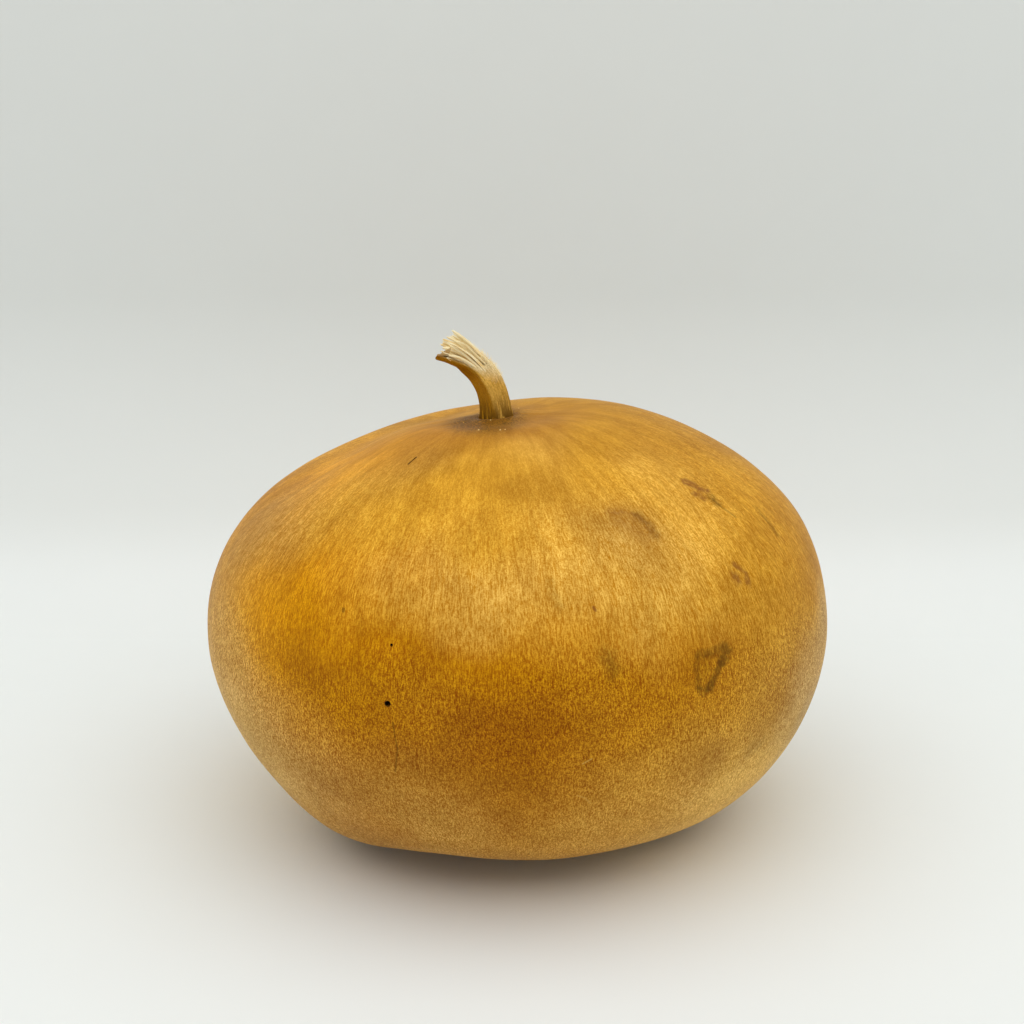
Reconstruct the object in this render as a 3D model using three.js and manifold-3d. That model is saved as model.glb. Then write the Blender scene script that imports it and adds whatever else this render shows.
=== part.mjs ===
// A dried canteen gourd: a broad, flattened fruit that stands on a small flat foot, with its bent woody
// stem, whose cut end has frayed into pale strands. Units are millimetres and +Z is up. The origin is the
// centre of the foot. -Y is the gourd's front, and the stem bends towards -X.
import * as THREE from "three";
import { mergeVertices } from "three/addons/utils/BufferGeometryUtils.js";
import Module from "manifold-3d";

const wasm = await Module();
wasm.setup();

// Fruit: its outline as [radius, height above the widest line], from the stem end down to the foot's edge.
const WIDEST_LINE_HEIGHT = 70.5;
const FOOT_RADIUS = 26;
const FRUIT_OUTLINE = [
  [0, 76.1],
  [36.2, 77.7],
  [74.4, 62.4],
  [101.8, 37.1],
  [108.9, 0],
  [97, -35.3],
  [73.5, -61],
  [50, -68.2],
  [FOOT_RADIUS, -WIDEST_LINE_HEIGHT],
];
const FRONT_TO_BACK_SHARE = 0.97;
const STEM_END_LEAN = -5.1;
const STEM_DIMPLE_DEPTH = 3.2;
const STEM_DIMPLE_RADIUS = 21;
const FRUIT_SEGMENTS_ROUND = 76;
const FRUIT_SEGMENTS_DOWN = 42;
const FOOT_RINGS = 2;

// Broad swells and hollows that the fruit grew with. Azimuth runs from +X towards +Y, latitude from the
// widest line, spread is the angle over which a swell fades, and height is negative for a hollow.
const SWELLS = [
  { azimuth: 180, latitude: 42, spread: 30, height: -11.1 },
  { azimuth: 178, latitude: -25, spread: 30, height: -2.8 },
  { azimuth: 0, latitude: -25, spread: 30, height: 4.9 },
  { azimuth: -137, latitude: -46, spread: 17, height: 4.5 },
  { azimuth: -113, latitude: -54, spread: 17, height: -8.7 },
  { azimuth: -88, latitude: -56, spread: 17, height: -2.2 },
  { azimuth: -60, latitude: -52, spread: 17, height: -3.5 },
  { azimuth: 75, latitude: 55, spread: 25, height: -4.7 },
  { azimuth: 140, latitude: 50, spread: 25, height: -7.2 },
  { azimuth: 118, latitude: 62, spread: 14, height: -4.4 },
  { azimuth: 80, latitude: -30, spread: 32, height: -3.5 },
];
// Swells fade out between these latitudes, so that the foot stays flat and round.
const SWELL_FADE_LATITUDES = [-69, -55];

// Pinholes through the rind, given by azimuth and latitude.
const PINHOLE_DEPTH = 6;
const PINHOLE_SIDES = 12;
const PINHOLES = [
  { azimuth: -110.3, latitude: 5.4, radius: 1 },
  { azimuth: -110.3, latitude: 15.3, radius: 0.5 },
];

// Stem: its centre line as [sideways, front to back, up] from where it leaves the fruit. It starts in a
// seat below the skin.
const SEAT_DEPTH = 5;
const SEAT_GAP = 0.3;
const STEM_LINE = [
  [0.6, 0, -SEAT_DEPTH],
  [0.5, 0, 0],
  [-0.3, -0.1, 9.6],
  [-2.7, -0.4, 16.3],
  [-7.3, -1, 22.1],
  [-13.7, -1.8, 26.5],
  [-19.2, -2.3, 28.5],
];
const STEM_RADIUS = 5.2;
const STEM_END_RADIUS = 4.4;
const STEM_FLARE = 1.5;
const STEM_FLARE_LENGTH = 0.16;
const STEM_RIDGES = 5;
const STEM_RIDGE_HEIGHT = 0.4;
const STEM_RIDGE_TURN = 30;
const ROOT_RIBS = 11;
const ROOT_RIB_SHARE = 0.28;
const STEM_SIDES = 44;
const STEM_STEPS = 24;
// The bark ends early on the upper side of the bend, and runs on as a tongue below.
const BARK_END_ABOVE = 0.7;
const BARK_END_BELOW = 1;

// Frayed strands, which stand in the open end of the bark.
const STRAND_BUNDLE_RADIUS = 3.5;
const STRAND_BUNDLE_START = 0.6;
const STRAND_BUNDLE_END = 0.73;
const STRAND_BUNDLE_SIDES = 16;
const STRAND_BUNDLE_STEPS = 5;
const STRAND_COUNT = 34;
const STRAND_SIDES = 5;
const STRAND_STEPS = 5;
const STRAND_RADIUS = 0.5;
const STRAND_TIP_RADIUS = 0.3;
const STRAND_ROOT = 0.65;
const STRAND_TIP_RANGE = [0.9, 1];
const STRAND_TIP_SHORTER_ABOVE = 0.05;
const STRAND_SPREAD_ABOVE = 3.6;
const STRAND_SEED = 7;

const RIND_COLOUR = 0xc28a33;
const BARK_COLOUR = 0xa87832;
const STRAND_COLOUR = 0xdcbc82;

const UP = new THREE.Vector3(0, 0, 1);
const ALONG_Y = new THREE.Vector3(0, 1, 0);

function directionOf(azimuth, latitude) {
  const a = THREE.MathUtils.degToRad(azimuth);
  const b = THREE.MathUtils.degToRad(latitude);
  return new THREE.Vector3(Math.cos(b) * Math.cos(a), Math.cos(b) * Math.sin(a), Math.sin(b));
}

function seededRandom(seed) {
  let state = seed;
  return () => {
    state = (state + 0x6d2b79f5) | 0;
    let t = Math.imul(state ^ (state >>> 15), 1 | state);
    t = (t + Math.imul(t ^ (t >>> 7), 61 | t)) ^ t;
    return ((t ^ (t >>> 14)) >>> 0) / 2 ** 32;
  };
}

// Solids and geometries, for cutting and joining.
function solidOf(geometry) {
  const bare = geometry.clone();
  bare.deleteAttribute("normal");
  bare.deleteAttribute("uv");
  const merged = mergeVertices(bare, 1e-4);
  return new wasm.Manifold(
    new wasm.Mesh({
      numProp: 3,
      vertProperties: new Float32Array(merged.attributes.position.array),
      triVerts: new Uint32Array(merged.index.array),
    }),
  );
}

function geometryOf(solid) {
  const mesh = solid.getMesh();
  const geometry = new THREE.BufferGeometry();
  geometry.setAttribute("position", new THREE.BufferAttribute(mesh.vertProperties, 3));
  geometry.setIndex(new THREE.BufferAttribute(mesh.triVerts, 1));
  geometry.computeVertexNormals();
  return geometry;
}

// Fruit

const fruitOutline = new THREE.SplineCurve(FRUIT_OUTLINE.map(([r, h]) => new THREE.Vector2(r, h)));

function swellAt(direction) {
  const latitude = THREE.MathUtils.radToDeg(Math.asin(direction.z));
  const shown = THREE.MathUtils.smoothstep(latitude, ...SWELL_FADE_LATITUDES);
  let sum = 0;
  for (const swell of SWELLS) {
    const away = direction.angleTo(directionOf(swell.azimuth, swell.latitude));
    sum += swell.height * Math.exp(-((THREE.MathUtils.radToDeg(away) / swell.spread) ** 2));
  }
  return sum * shown;
}

// The skin point that a point of the plain turned fruit grows to. Both are from the foot's centre.
function grown(radius, height, azimuth) {
  const plain = new THREE.Vector3(radius * Math.cos(azimuth), radius * Math.sin(azimuth), height);
  const direction = plain.clone().normalize();
  const skin = plain.addScaledVector(direction, swellAt(direction));
  skin.x += STEM_END_LEAN * Math.max(direction.z, 0) ** 2;
  skin.y *= FRONT_TO_BACK_SHARE;
  if (height > 0) skin.z -= STEM_DIMPLE_DEPTH * Math.exp(-((radius / STEM_DIMPLE_RADIUS) ** 2));
  skin.z = Math.max(skin.z, -WIDEST_LINE_HEIGHT) + WIDEST_LINE_HEIGHT;
  return skin;
}

function fruitGeometry() {
  const ball = new THREE.SphereGeometry(1, FRUIT_SEGMENTS_ROUND, FRUIT_SEGMENTS_DOWN);
  ball.rotateX(Math.PI / 2);
  const footShare = 1 - FOOT_RINGS / FRUIT_SEGMENTS_DOWN;
  const place = ball.attributes.position;
  for (let i = 0; i < place.count; i++) {
    const [x, y, z] = [place.getX(i), place.getY(i), place.getZ(i)];
    const share = Math.acos(THREE.MathUtils.clamp(z, -1, 1)) / Math.PI;
    const onFoot = (1 - share) / (1 - footShare);
    const turned = fruitOutline.getPoint(Math.min(share / footShare, 1));
    const radius = onFoot < 1 ? FOOT_RADIUS * onFoot : turned.x;
    const skin = grown(radius, turned.y, Math.atan2(y, x));
    place.setXYZ(i, skin.x, skin.y, skin.z);
  }
  return ball;
}

// The skin point in a direction from the fruit's heart, found on the outline by halving.
function skinPoint(azimuth, latitude) {
  let above = 0;
  let below = 1;
  for (let i = 0; i < 40; i++) {
    const middle = (above + below) / 2;
    const p = fruitOutline.getPoint(middle);
    if (Math.atan2(p.y, p.x) > THREE.MathUtils.degToRad(latitude)) above = middle;
    else below = middle;
  }
  const p = fruitOutline.getPoint(above);
  return grown(p.x, p.y, THREE.MathUtils.degToRad(azimuth));
}

function pinholeGeometry({ azimuth, latitude, radius }) {
  const bit = new THREE.CylinderGeometry(radius, radius, 2 * PINHOLE_DEPTH, PINHOLE_SIDES);
  const turn = new THREE.Quaternion().setFromUnitVectors(ALONG_Y, directionOf(azimuth, latitude));
  const centre = skinPoint(azimuth, latitude);
  return bit.applyQuaternion(turn).translate(centre.x, centre.y, centre.z);
}

// Stem

const stemSeat = skinPoint(0, 90);
const stemLine = new THREE.CatmullRomCurve3(
  STEM_LINE.map(([x, y, z]) => new THREE.Vector3(x, y, z).add(stemSeat)),
);

// Directions at a share of a line's length: along it, to the upper side of the bend, and to the side.
function directionsAt(line, share) {
  const along = line.getTangentAt(THREE.MathUtils.clamp(share, 0, 1));
  const side = ALONG_Y.clone().addScaledVector(along, -ALONG_Y.dot(along)).normalize();
  const above = side.clone().cross(along);
  return { along, above, side };
}

// A bar bent along a line. radiusAt and endAt take the angle round the bar, which is 0 on its upper side.
function bentBar(line, sides, steps, radiusAt, start = 0, endAt = () => 1) {
  const bar = new THREE.CylinderGeometry(1, 1, 1, sides, steps);
  const place = bar.attributes.position;
  for (let i = 0; i < place.count; i++) {
    const [x, y, z] = [place.getX(i), place.getY(i), place.getZ(i)];
    const angle = Math.atan2(z, x);
    const share = THREE.MathUtils.lerp(start, endAt(angle), y + 0.5);
    const radius = Math.hypot(x, z) * radiusAt(share, angle);
    const { above, side } = directionsAt(line, share);
    const p = line.getPointAt(THREE.MathUtils.clamp(share, 0, 1));
    p.addScaledVector(above, radius * Math.cos(angle)).addScaledVector(side, -radius * Math.sin(angle));
    place.setXYZ(i, p.x, p.y, p.z);
  }
  return bar;
}

function stemRadius(share, angle) {
  const ridge = STEM_RIDGE_HEIGHT * Math.cos(STEM_RIDGES * (angle - THREE.MathUtils.degToRad(STEM_RIDGE_TURN)));
  const flare = STEM_FLARE * Math.exp(-((share / STEM_FLARE_LENGTH) ** 2));
  const rootRib = ROOT_RIB_SHARE * flare * Math.cos(ROOT_RIBS * angle);
  return THREE.MathUtils.lerp(STEM_RADIUS, STEM_END_RADIUS, share) + ridge + flare + rootRib;
}

function barkEnd(angle) {
  const below = (1 - Math.cos(angle)) / 2;
  return THREE.MathUtils.lerp(BARK_END_ABOVE, BARK_END_BELOW, below ** 2);
}

function barkSolid() {
  const bark = solidOf(bentBar(stemLine, STEM_SIDES, STEM_STEPS, stemRadius, 0, barkEnd));
  const gap = SEAT_GAP / stemLine.getLength();
  const hollow = bentBar(
    stemLine,
    STRAND_BUNDLE_SIDES,
    STEM_STEPS / 2,
    () => STRAND_BUNDLE_RADIUS + SEAT_GAP,
    STRAND_BUNDLE_START - gap,
  );
  return bark.subtract(solidOf(hollow));
}

function seatSolid() {
  const seat = solidOf(
    bentBar(stemLine, STEM_SIDES, STEM_STEPS, (share, angle) => stemRadius(share, angle) + SEAT_GAP),
  );
  const floor = new THREE.Vector3(0, 0, -SEAT_GAP);
  return seat.add(seat.translate(floor.toArray()));
}

// Strands

function strandSolid(random) {
  const angle = 2 * Math.PI * random();
  const out = (STRAND_BUNDLE_RADIUS - STRAND_RADIUS) * Math.sqrt(random());
  const [above, side] = [out * Math.cos(angle), -out * Math.sin(angle)];
  const shorter = (STRAND_TIP_SHORTER_ABOVE * Math.max(above, 0)) / STRAND_BUNDLE_RADIUS;
  const tip = THREE.MathUtils.lerp(...STRAND_TIP_RANGE, random()) - shorter;
  const points = [];
  for (let i = 0; i < 4; i++) {
    const share = THREE.MathUtils.lerp(STRAND_ROOT, tip, i / 3);
    const spread = (i / 3) ** 2 * STRAND_SPREAD_ABOVE * Math.max(above, 0) / STRAND_BUNDLE_RADIUS;
    const axes = directionsAt(stemLine, share);
    const p = stemLine.getPointAt(share);
    p.addScaledVector(axes.above, above + spread).addScaledVector(axes.side, side);
    points.push(p);
  }
  const line = new THREE.CatmullRomCurve3(points);
  const radiusAt = (share) => THREE.MathUtils.lerp(STRAND_RADIUS, STRAND_TIP_RADIUS, share);
  return solidOf(bentBar(line, STRAND_SIDES, STRAND_STEPS, radiusAt));
}

function strandsSolid() {
  const random = seededRandom(STRAND_SEED);
  let joined = solidOf(
    bentBar(
      stemLine,
      STRAND_BUNDLE_SIDES,
      STRAND_BUNDLE_STEPS,
      () => STRAND_BUNDLE_RADIUS,
      STRAND_BUNDLE_START,
      () => STRAND_BUNDLE_END,
    ),
  );
  for (let i = 0; i < STRAND_COUNT; i++) joined = joined.add(strandSolid(random));
  return joined;
}

function fruitSolid() {
  let fruit = solidOf(fruitGeometry()).subtract(seatSolid());
  for (const pinhole of PINHOLES) fruit = fruit.subtract(solidOf(pinholeGeometry(pinhole)));
  return fruit;
}

function named(name, solid, color, roughness) {
  const material = new THREE.MeshStandardMaterial({ color, roughness, metalness: 0 });
  const mesh = new THREE.Mesh(geometryOf(solid), material);
  mesh.name = name;
  return mesh;
}

const gourd = new THREE.Group();
gourd.up.copy(UP);
gourd.add(named("fruit", fruitSolid(), RIND_COLOUR, 0.45));
gourd.add(named("stem", barkSolid(), BARK_COLOUR, 0.7));
gourd.add(named("stem_strands", strandsSolid(), STRAND_COLOUR, 0.8));

export default gourd;
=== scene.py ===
"""Dried canteen gourd: its rind, its stem with the frayed end, and the plain studio it stands in.

Lengths are in metres, or in millimetres where a name or note says mm. The origin is the
centre of the foot, +Z is up and the front faces -Y.
"""

import math
import random

import bmesh
import bpy
from bpy.props import FloatProperty, FloatVectorProperty, IntProperty, PointerProperty
from mathutils import Matrix, Vector


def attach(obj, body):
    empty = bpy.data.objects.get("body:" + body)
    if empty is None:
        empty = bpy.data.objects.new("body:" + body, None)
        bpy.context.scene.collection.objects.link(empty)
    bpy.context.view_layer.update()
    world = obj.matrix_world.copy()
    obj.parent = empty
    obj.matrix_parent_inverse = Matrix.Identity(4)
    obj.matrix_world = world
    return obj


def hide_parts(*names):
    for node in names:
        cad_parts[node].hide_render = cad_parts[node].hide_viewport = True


bl_info = {
    "name": "Dried canteen gourd",
    "version": (1, 0, 0),
    "blender": (4, 5, 0),
    "location": "View3D > Sidebar > Gourd",
    "description": "Models a dried canteen gourd with a frayed stem, in a plain studio",
    "category": "Add Mesh",
}

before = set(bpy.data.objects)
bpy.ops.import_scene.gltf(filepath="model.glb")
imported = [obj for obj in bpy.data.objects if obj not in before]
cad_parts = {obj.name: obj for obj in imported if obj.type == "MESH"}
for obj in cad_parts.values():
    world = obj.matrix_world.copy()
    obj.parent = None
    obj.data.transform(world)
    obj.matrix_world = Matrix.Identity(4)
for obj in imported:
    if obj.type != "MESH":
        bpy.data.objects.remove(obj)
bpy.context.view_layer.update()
MM = 0.001

# The studio: places in metres, the camera's tilt in degrees, and tints

CAMERA_PLACE = (0.0004, -0.63055, 0.31487)
CAMERA_TILT = 72
LIGHT_PLACE = (0.1, -0.5, 1.15)
LIGHT_TINT = (1.0, 0.985, 0.965)
SURROUNDINGS_TINT = (0.93, 0.985, 1.0)

# Places on the fruit, in mm

STEM_SEAT = Vector((-5.1, 0.0, 141.2))
PINHOLES = ((-37.7, -99.0, 80.8), (-36.9, -95.7, 99.3))
NICK = ((-32.9, -43.7, 140.7), (-30.5, -40.9, 142.2))
WIDEST_LINE = 70.5

# Crumbs of bark round the stem's foot: place in mm and size

CRUMBS = (
    (-10.6, -25.5, 0.65),
    (-3.5, -27.3, 0.62),
    (-1.9, -26.8, 0.45),
    (-7.0, -9.5, 0.65),
    (-16.5, -8.0, 0.45),
    (2.5, 9.0, 0.50),
    (-12.0, 10.0, 0.50),
)

# The stem's middle line, from 5 mm under the skin to the tip of the bark, in mm

STEM_LINE = [
    (-4.5, 0.0, 136.24),
    (-4.6, 0.0, 141.24),
    (-5.4, -0.1, 150.84),
    (-7.8, -0.4, 157.54),
    (-12.4, -1.0, 163.34),
    (-18.8, -1.8, 167.74),
    (-24.3, -2.3, 169.74),
]

# Round the stem: the first of its ridges and how far its end is worn back, in degrees, and its root's ribs

RIDGE_ANGLE = 30
WORN_ANGLE = 118
ROOT_RIBS = 11

# Zones of colour on the rind: colour, centre and reach in mm, softness, strength

RIND_ZONES = (
    ("umber", (-34, -58, 93), (68, 66, 90), 0.6, 0.89),
    ("umber", (3, -113, 96), (30, 28, 60), 0.6, 1.00),
    ("rust", (-7, -92, 96), (72, 12, 12), 0.6, 0.39),
    ("rust", (-68, -54, 159), (39, 74, 75), 0.6, 0.79),
    ("olive", (-61, -98, 87), (37, 25, 18), 0.6, 1.00),
    ("olive", (49, -96, 88), (36, 34, 17), 0.6, 0.80),
    ("tan", (-17, -130, 112), (34, 82, 11), 0.6, 0.54),
    ("tan", (19, -65, 126), (47, 31, 36), 0.6, 0.91),
    ("gold", (-1, -70, 118), (22, 13, 16), 0.6, 1.00),
    ("gold", (28, -24, 145), (9, 77, 13), 0.6, 0.86),
    ("gold", (-23, -59, 140), (63, 18, 23), 0.6, 1.00),
    ("mauve", (20, 21, 132), (68, 65, 75), 0.6, 0.24),
    ("mauve", (-34, -40, 174), (15, 17, 46), 0.6, 0.37),
    ("mauve", (-123, -63, 122), (59, 90, 17), 0.6, 0.63),
    ("mauve", (34, -73, 94), (19, 11, 42), 0.6, 0.40),
    ("mauve", (77, 1, 66), (28, 56, 27), 0.6, 1.00),
    ("straw", (-88, -51, 50), (36, 49, 28), 0.6, 0.39),
    ("straw", (-90, -35, 114), (54, 25, 68), 0.6, 0.26),
    ("clay", (-39, -92, 30), (20, 7, 31), 0.6, 0.13),
    ("straw", (52, 22, 59), (90, 86, 51), 0.12, 0.37),
    ("mauve", (64, -93, 49), (15, 13, 19), 0.6, 0.24),
    ("mauve", (12, -64, 143), (14, 12, 26), 0.6, 0.13),
    ("olive", (29, -99, 31), (38, 39, 43), 0.6, 0.51),
    ("amber", (86, -21, 114), (28, 78, 6), 0.6, 0.72),
    # The last row darkens the rind round and under the foot: painted shade
    ("stain", (0, 0, -4), (62, 60, 16), 0.5, 0.65),
)

# Marks on the rind: colour, strength, width in mm, softness, then the places that a mark runs through.
# A mark wider than WIDE_MARK has a ragged edge.

WIDE_MARK = 1.5

RIND_MARKS = (
    # The stain on the right, a dark outline with a lighter middle
    ("stain", 0.55, 3.0, 0.6, (57.8, -87.3, 92.2), (60.7, -85.5, 92.0), (63.9, -83.2, 92.0)),
    ("stain", 0.68, 4.2, 0.5, (66.4, -81.6, 92.2), (67.4, -81.0, 90.6), (65.9, -82.9, 88.6)),
    ("stain", 0.66, 2.9, 0.6,
     (65.6, -83.2, 88.2), (64.2, -84.5, 86.0), (63.1, -85.6, 83.6), (61.9, -86.8, 81.2)),
    ("stain", 0.58, 2.8, 0.7, (61.9, -86.8, 81.2), (60.3, -87.9, 80.4), (58.6, -88.9, 81.3)),
    ("stain", 0.40, 2.2, 0.8,
     (57.5, -87.9, 91.0), (57.3, -88.5, 88.8), (57.6, -89.1, 84.9), (58.3, -89.0, 81.6)),
    ("stain", 0.30, 6.0, 1.0, (60.6, -86.6, 88.0), (60.6, -87.0, 84.5)),
    # Blotches on the right shoulder
    ("bruise", 0.78, 3.3, 0.6,
     (56.7, -41.2, 133.9), (59.2, -41.0, 132.8), (61.1, -41.6, 131.7), (63.5, -40.2, 130.9)),
    ("bruise", 0.72, 2.8, 0.7, (59.5, -45.3, 131.1), (61.8, -45.0, 130.0)),
    ("stain", 0.72, 3.6, 0.7, (64.9, -43.2, 129.1), (66.1, -44.2, 128.1)),
    ("stain", 0.42, 1.0, 0.9, (66.1, -44.2, 128.1), (68.0, -45.0, 126.7), (72.5, -45.9, 123.6)),
    ("stain", 0.42, 2.2, 0.9, (80.9, -33.1, 122.5), (83.7, -35.1, 119.7), (87.5, -37.9, 115.1)),
    ("bruise", 0.68, 2.0, 0.8, (70.5, -64.3, 114.0), (74.5, -63.5, 110.7), (75.3, -65.6, 107.8)),
    ("bruise", 0.72, 3.6, 0.8, (70.9, -67.5, 110.5), (71.6, -67.6, 110.0)),
    # The ringed patch above the middle
    ("bruise", 0.36, 1.8, 0.9,
     (29.9, -66.6, 132.0), (35.6, -64.8, 131.4), (39.6, -64.8, 130.1), (43.3, -66.7, 127.7)),
    ("stain", 0.42, 3.2, 0.9, (39.6, -64.8, 130.1), (43.3, -66.7, 127.7), (45.0, -69.4, 125.4)),
    ("bruise", 0.32, 8.0, 0.9, (34.0, -67.0, 130.5), (43.0, -70.0, 126.5)),
    # Soft dark places and lines on the front
    ("stain", 0.46, 5.0, 0.9, (29.0, -98.8, 96.6), (31.3, -99.4, 91.6)),
    ("stain", 0.22, 2.2, 0.9, (11.8, -90.2, 117.8), (14.8, -95.4, 110.8)),
    ("bruise", 0.70, 0.9, 0.7, (25.0, -93.6, 110.4), (25.6, -94.0, 109.6)),
    ("stain", 0.30, 6.0, 0.9, (78.0, -68.2, 51.5), (81.0, -65.4, 51.7)),
    ("stain", 0.60, 0.55, 0.6, (-36.0, -99.7, 74.9), (-34.6, -99.5, 66.1), (-35.5, -97.4, 57.7)),
    ("stain", 0.60, 1.1, 0.6, (-51.4, -85.4, 106.7), (-51.4, -85.6, 106.2)),
    ("stain", 0.50, 0.9, 0.6, (-76.1, -74.8, 79.7), (-76.1, -74.9, 79.2)),
    # The nick's dark line is painted shade in the cut
    ("soot", 0.85, 0.6, 0.5, *NICK),
    ("straw", 0.45, 0.5, 0.6, (22.0, -102.2, 62.4), (24.7, -102.0, 63.9)),
    ("straw", 0.35, 0.5, 0.6, (20.5, -98.4, 50.2), (23.0, -97.4, 48.9), (24.6, -95.9, 46.4)),
)


# Working in Blender


def deselect():
    """Leaves edit mode and selects nothing."""
    if bpy.context.mode != "OBJECT":
        bpy.ops.object.mode_set(mode="OBJECT")
    bpy.ops.object.select_all(action="DESELECT")


def pick(*pieces):
    """Selects these pieces alone, and makes the first one active."""
    deselect()
    for piece in pieces:
        piece.select_set(True)
    bpy.context.view_layer.objects.active = pieces[0]


def edit(piece):
    """Opens the piece in edit mode with nothing selected."""
    pick(piece)
    bpy.ops.object.mode_set(mode="EDIT")
    bpy.ops.mesh.select_all(action="DESELECT")


def choose(piece, test, kind="VERT"):
    """Selects, in edit mode, the vertices, edges or faces for which test is true."""
    bpy.ops.mesh.select_mode(type=kind)
    bpy.ops.mesh.select_all(action="DESELECT")
    mesh = bmesh.from_edit_mesh(piece.data)
    for element in {"VERT": mesh.verts, "EDGE": mesh.edges, "FACE": mesh.faces}[kind]:
        if test(element):
            element.select_set(True)
    mesh.select_flush_mode()
    bmesh.update_edit_mesh(piece.data)


def finish_with(piece, kind, **settings):
    """Adds a modifier with these settings and applies it."""
    pick(piece)
    modifier = piece.modifiers.new(kind.title(), kind)
    for name, value in settings.items():
        setattr(modifier, name, value)
    bpy.ops.object.modifier_apply(modifier=modifier.name)


def named(name):
    """Gives the object that was just added its name, and its mesh the same one."""
    piece = bpy.context.object
    piece.name = name
    piece.data.name = name
    return piece


def settle(piece):
    """Puts the piece's place, turn and scale into its mesh."""
    pick(piece)
    bpy.ops.object.transform_apply(location=True, rotation=True, scale=True)


def begin(primitive, name, **settings):
    """Adds a primitive as the start of a piece, with its place in its mesh."""
    deselect()
    primitive(**settings)
    piece = named(name)
    settle(piece)
    return piece


def copy_of(piece, name):
    """A copy of the piece with its own mesh."""
    pick(piece)
    bpy.ops.object.duplicate(linked=False)
    return named(name)


def joined(pieces, name):
    """Joins the pieces into one."""
    pick(*pieces)
    bpy.ops.object.join()
    return named(name)


def merged_node(node, name):
    """A copy of a CAD node whose loose triangles are merged."""
    piece = copy_of(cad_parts[node], name)
    piece.parent = None
    edit(piece)
    bpy.ops.mesh.select_all(action="SELECT")
    bpy.ops.mesh.remove_doubles(threshold=1e-6)
    deselect()
    return piece


def discard(piece):
    """Removes a helper object."""
    bpy.data.objects.remove(piece)


def on_skin(rind, place):
    """The place on the rind that is nearest to this one, and which way is outwards there."""
    found, skin, outward, _ = rind.closest_point_on_mesh(place)
    if not found:
        raise RuntimeError("a place isn't on the rind")
    return skin, outward


def smooth(piece, degrees):
    """Smooth shading, apart from edges sharper than this."""
    pick(piece)
    bpy.ops.object.shade_smooth_by_angle(angle=math.radians(degrees))


def hand_over(piece, node=None):
    """Hides the CAD node that the piece stands for, if one is given, and makes the piece move with the gourd.
    """
    if node:
        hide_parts(node)
    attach(piece, "root")


# Building materials


class Graph:
    """Adds and links the nodes of one material or node group."""

    def __init__(self, tree):
        self.tree = tree
        self.count = 0

    def put(self, kind, **settings):
        node = self.tree.nodes.new(kind)
        node.location = (220 * (self.count // 8), -190 * (self.count % 8))
        self.count += 1
        for name, value in settings.items():
            setattr(node, name, value)
        return node

    def feed(self, socket, value):
        """Links a socket to this one, or sets it to a number, vector or colour."""
        if isinstance(value, bpy.types.NodeSocket):
            self.tree.links.new(value, socket)
        elif socket.type == "RGBA":
            socket.default_value = (*value[:3], 1.0)
        else:
            socket.default_value = value

    def math(self, operation, *values, clamp=False):
        node = self.put("ShaderNodeMath", operation=operation, use_clamp=clamp)
        for socket, value in zip(node.inputs, values):
            self.feed(socket, value)
        return node.outputs[0]

    def plus(self, first, second):
        return self.math("ADD", first, second)

    def minus(self, first, second):
        return self.math("SUBTRACT", first, second)

    def times(self, first, second):
        return self.math("MULTIPLY", first, second)

    def vector(self, operation, *values):
        node = self.put("ShaderNodeVectorMath", operation=operation)
        for socket, value in zip(node.inputs, values):
            self.feed(socket, value)
        return node.outputs["Value" if operation in ("LENGTH", "DOT_PRODUCT") else "Vector"]

    def scaled(self, vector, factor):
        node = self.put("ShaderNodeVectorMath", operation="SCALE")
        self.feed(node.inputs[0], vector)
        self.feed(node.inputs["Scale"], factor)
        return node.outputs[0]

    def split(self, vector):
        node = self.put("ShaderNodeSeparateXYZ")
        self.feed(node.inputs[0], vector)
        return node.outputs

    def join(self, x, y, z):
        node = self.put("ShaderNodeCombineXYZ")
        for socket, value in zip(node.inputs, (x, y, z)):
            self.feed(socket, value)
        return node.outputs[0]

    def noise(self, vector, scale, detail=2.0, roughness=0.5, distortion=0.0, colour=False):
        node = self.put("ShaderNodeTexNoise", noise_dimensions="3D")
        self.feed(node.inputs["Vector"], vector)
        self.feed(node.inputs["Scale"], scale)
        self.feed(node.inputs["Detail"], detail)
        self.feed(node.inputs["Roughness"], roughness)
        self.feed(node.inputs["Distortion"], distortion)
        return node.outputs["Color" if colour else "Fac"]

    def between(self, value, low, high, to_low=0.0, to_high=1.0):
        """A smooth step from to_low to to_high as value goes from low to high."""
        node = self.put("ShaderNodeMapRange", interpolation_type="SMOOTHSTEP")
        for name, setting in (
            ("Value", value),
            ("From Min", low),
            ("From Max", high),
            ("To Min", to_low),
            ("To Max", to_high),
        ):
            self.feed(node.inputs[name], setting)
        return node.outputs["Result"]

    def mix(self, share, first, second, blend="MIX"):
        node = self.put("ShaderNodeMix", data_type="RGBA", blend_type=blend)
        self.feed(node.inputs[0], share)
        self.feed(node.inputs[6], first)
        self.feed(node.inputs[7], second)
        return node.outputs[2]

    def tinted(self, tone, tint):
        return self.mix(1.0, tone, tint, "MULTIPLY")

    def group(self, tree, **values):
        """Places a node group. A value's name is the input's, with _ for a space."""
        node = self.put("ShaderNodeGroup", node_tree=tree)
        for name, value in values.items():
            self.feed(node.inputs[name.replace("_", " ")], value)
        return node.outputs[0]


def new_group(name, inputs, outputs):
    """A shader node group with these inputs, as (name, kind, default), and outputs, as (name, kind)."""
    tree = bpy.data.node_groups.new(name, "ShaderNodeTree")
    for label, kind, default in inputs:
        socket = tree.interface.new_socket(label, in_out="INPUT", socket_type="NodeSocket" + kind)
        socket.default_value = default
    for label, kind in outputs:
        tree.interface.new_socket(label, in_out="OUTPUT", socket_type="NodeSocket" + kind)
    graph = Graph(tree)
    return graph, graph.put("NodeGroupInput").outputs, graph.put("NodeGroupOutput").inputs


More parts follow.
